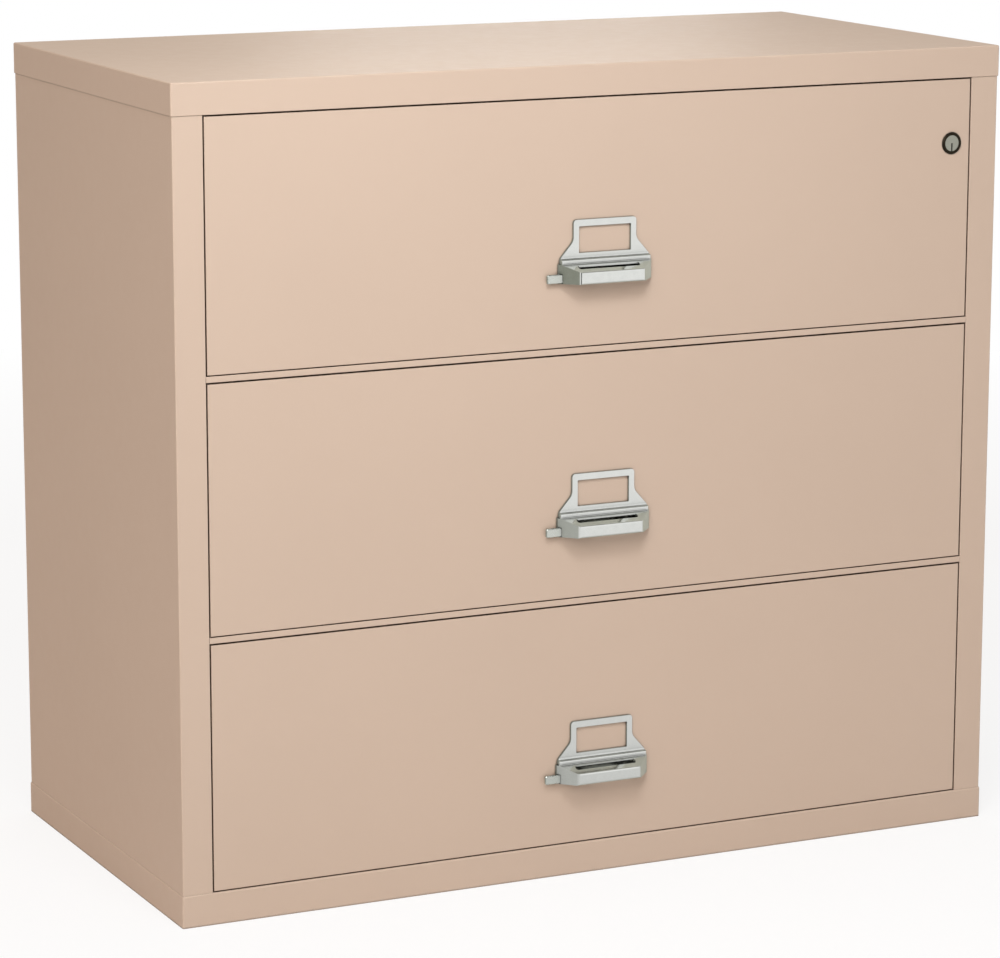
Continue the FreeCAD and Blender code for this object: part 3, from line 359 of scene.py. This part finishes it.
def bearing_balls(body, node, inward, material):
    """Steel balls in the windows of a slide's retainer strips, on both sides of the drawer."""
    low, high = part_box(node)
    middle = (low.z + high.z) / 2
    rise = (high.z - low.z) / 2 - CAGE_SHEET / 2
    rows = int((high.y - low.y) / CAGE_PITCH)
    shape = bmesh.new()
    for side in (-1, 1):
        for level in (-1, 1):
            for index in range(rows):
                place = Vector((
                    side * (high.x - inward),
                    low.y + (index + 0.5) * CAGE_PITCH,
                    middle + level * rise,
                ))
                bmesh.ops.create_uvsphere(
                    shape,
                    u_segments=16,
                    v_segments=10,
                    radius=BALL / 2,
                    matrix=Matrix.Translation(place),
                )
    for face in shape.faces:
        face.smooth = True
    mesh = bpy.data.meshes.new(f"{body}_balls")
    shape.to_mesh(mesh)
    shape.free()
    mesh.materials.append(material)
    piece = bpy.data.objects.new(f"{body}_balls", mesh)
    bpy.context.scene.collection.objects.link(piece)
    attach(piece, body)


def fill_slides(materials):
    steel = materials["bare_steel"]
    for number in DRAWERS:
        bearing_balls(f"outer_cages_{number}", f"cage_outer_{number}", OUTER_BALL_IN, steel)
        bearing_balls(f"inner_cages_{number}", f"cage_inner_{number}", INNER_BALL_IN, steel)


def flex_springs():
    """The latch springs again, as fixed copies standing between each latch and its drawer, with the
    imported springs hidden.
    """
    for number in DRAWERS:
        node = f"latch_spring_{number}"
        piece = bpy.data.objects.new(f"flexing_spring_{number}", NODES[node].data.copy())
        bpy.context.scene.collection.objects.link(piece)
        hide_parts(node)
        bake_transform(piece)


def shader_node(tree, kind, colour=None, strength=None):
    node = tree.nodes.new(kind)
    if colour is not None:
        node.inputs["Color"].default_value = (*colour, 1.0)
    if strength is not None:
        node.inputs["Strength"].default_value = strength
    return node


def chosen(tree, factor, first, second):
    """The first shader where the factor is 0 and the second where it is 1."""
    node = tree.nodes.new("ShaderNodeMixShader")
    tree.links.new(factor, node.inputs["Fac"])
    tree.links.new(first, node.inputs[1])
    tree.links.new(second, node.inputs[2])
    return node.outputs["Shader"]


def axis_of(tree, vector, axis):
    node = tree.nodes.new("ShaderNodeSeparateXYZ")
    tree.links.new(vector, node.inputs["Vector"])
    return node.outputs[axis]


def along(tree, vector, direction):
    node = tree.nodes.new("ShaderNodeVectorMath")
    node.operation = "DOT_PRODUCT"
    node.inputs[1].default_value = direction
    tree.links.new(vector, node.inputs[0])
    return node.outputs["Value"]


def arithmetic(tree, operation, *values):
    node = tree.nodes.new("ShaderNodeMath")
    node.operation = operation
    for index, value in enumerate(values):
        tree.links.new(value, node.inputs[index])
    return node.outputs["Value"]


def two_sided(tree, vector, turn):
    """Grey on the flag's side of the room and white on the bright side."""
    side = spread(tree, along(tree, vector, BRIGHT_SIDE), *turn, 0.0, 1.0)
    return blended(tree, side, STUDIO_FLAG, STUDIO_WHITE)


def with_dark_band(tree, vector, band, colour):
    """The colour, darkened within a strip that lies to the room's dark side."""
    start, edge = band
    ahead = spread(tree, along(tree, vector, DARK_SIDE), *start, 0.0, 1.0)
    off = arithmetic(tree, "ABSOLUTE", along(tree, vector, DARK_ACROSS))
    inside = arithmetic(tree, "MULTIPLY", ahead, spread(tree, off, *edge, 1.0, 0.0))
    return blended(tree, inside, colour, DARK_BAND)


def seen_directly(tree, path):
    """One for rays from the camera and through clear pieces."""
    kinds = (path.outputs["Is Camera Ray"], path.outputs["Is Transmission Ray"])
    return arithmetic(tree, "MAXIMUM", *kinds)


def length_of(tree, vector):
    node = tree.nodes.new("ShaderNodeVectorMath")
    node.operation = "LENGTH"
    tree.links.new(vector, node.inputs[0])
    return node.outputs["Value"]


def floor_shader(tree):
    """White with the cabinet's shadow for the camera, the room's colours for metal, else matt."""
    path = tree.nodes.new("ShaderNodeLightPath")
    where = tree.nodes.new("ShaderNodeTexCoord").outputs["Object"]
    radius = length_of(tree, where)
    matt = shader_node(tree, "ShaderNodeBsdfDiffuse", FLOOR_GREY).outputs["BSDF"]
    shadow = shader_node(tree, "ShaderNodeBsdfDiffuse", STUDIO_WHITE).outputs["BSDF"]
    plain = shader_node(tree, "ShaderNodeEmission", STUDIO_WHITE, 1.0).outputs["Emission"]
    kept = spread(tree, radius, FLOOR_NEAR, FLOOR_FAR, FLOOR_SHADOW, 0.0)
    seen = chosen(tree, kept, plain, shadow)
    mirrored = shader_node(tree, "ShaderNodeEmission")
    colour = with_dark_band(tree, where, FLOOR_BAND, two_sided(tree, where, FLOOR_TURN))
    tree.links.new(colour, mirrored.inputs["Color"])
    strength = spread(tree, radius, *FLOOR_GLOSS_RADIUS, *FLOOR_GLOSS)
    tree.links.new(strength, mirrored.inputs["Strength"])
    result = chosen(tree, path.outputs["Is Glossy Ray"], matt, mirrored.outputs["Emission"])
    return chosen(tree, seen_directly(tree, path), result, seen)


def studio_floor():
    """White floor that keeps the cabinet's shadow and runs out to plain white."""
    mesh = bpy.data.meshes.new("studio_floor")
    half = FLOOR_HALF
    corners = [(-half, -half, 0), (half, -half, 0), (half, half, 0), (-half, half, 0)]
    mesh.from_pydata(corners, [], [(0, 1, 2, 3)])
    floor = bpy.data.objects.new("studio_floor", mesh)
    bpy.context.scene.collection.objects.link(floor)
    material = bpy.data.materials.new("studio_floor")
    material.use_nodes = True
    tree = material.node_tree
    tree.nodes.clear()
    output = tree.nodes.new("ShaderNodeOutputMaterial")
    tree.links.new(floor_shader(tree), output.inputs["Surface"])
    mesh.materials.append(material)


def world_shader(tree):
    """Soft ambient light, plain white for the camera, and the room's colours for metal."""
    path = tree.nodes.new("ShaderNodeLightPath")
    where = tree.nodes.new("ShaderNodeTexCoord").outputs["Generated"]
    ambient = shader_node(tree, "ShaderNodeBackground", strength=AMBIENT)
    warmth = spread(tree, axis_of(tree, where, "X"), *AMBIENT_TURN, 0.0, 1.0)
    tree.links.new(blended(tree, warmth, AMBIENT_LEFT, STUDIO_WHITE), ambient.inputs["Color"])
    white = shader_node(tree, "ShaderNodeBackground", STUDIO_WHITE, 1.0).outputs["Background"]
    mirrored = shader_node(tree, "ShaderNodeBackground")
    ceiling = spread(tree, axis_of(tree, where, "Z"), *CEILING_EDGE, 0.0, 1.0)
    walls = two_sided(tree, where, ROOM_TURN)
    room = blended(tree, ceiling, walls, DARK_CEILING)
    tree.links.new(with_dark_band(tree, where, ROOM_BAND, room), mirrored.inputs["Color"])
    lit = ambient.outputs["Background"]
    result = chosen(tree, path.outputs["Is Glossy Ray"], lit, mirrored.outputs["Background"])
    return chosen(tree, seen_directly(tree, path), result, white)


def studio_world():
    world = bpy.data.worlds.new("studio_world")
    world.use_nodes = True
    tree = world.node_tree
    tree.nodes.clear()
    output = tree.nodes.new("ShaderNodeOutputWorld")
    tree.links.new(world_shader(tree), output.inputs["Surface"])
    bpy.context.scene.world = world


def area_light(name, place, target, size, power, colour):
    light = bpy.data.lights.new(name, "AREA")
    light.shape = "RECTANGLE"
    light.size, light.size_y = size
    light.energy = power
    light.color = colour
    obj = bpy.data.objects.new(name, light)
    obj.location = place
    direction = Vector(target) - Vector(place)
    obj.rotation_euler = direction.to_track_quat("-Z", "Y").to_euler()
    obj.visible_camera = False
    bpy.context.scene.collection.objects.link(obj)


def studio_camera():
    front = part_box("top_cover")[0].y
    data = bpy.data.cameras.new("studio_camera")
    data.sensor_width = SENSOR
    data.lens = FOCAL_PIXELS / IMAGE_WIDTH * SENSOR
    data.clip_end = 200.0
    camera = bpy.data.objects.new("studio_camera", data)
    turn = (
        Matrix.Rotation(math.radians(-CAMERA_YAW), 4, "Z")
        @ Matrix.Rotation(math.radians(90 - CAMERA_PITCH), 4, "X")
        @ Matrix.Rotation(math.radians(CAMERA_ROLL), 4, "Z")
    )
    place = Vector(CAMERA_FROM_FRONT) + Vector((0, front, 0))
    camera.matrix_world = Matrix.Translation(place) @ turn
    bpy.context.scene.collection.objects.link(camera)
    bpy.context.scene.camera = camera


bpy.context.scene.view_settings.view_transform = "Standard"
studio_camera()
materials = make_materials()
dress_nodes(materials)
fill_slides(materials)
flex_springs()
studio_floor()
studio_world()
for lamp in LAMPS:
    area_light(*lamp)
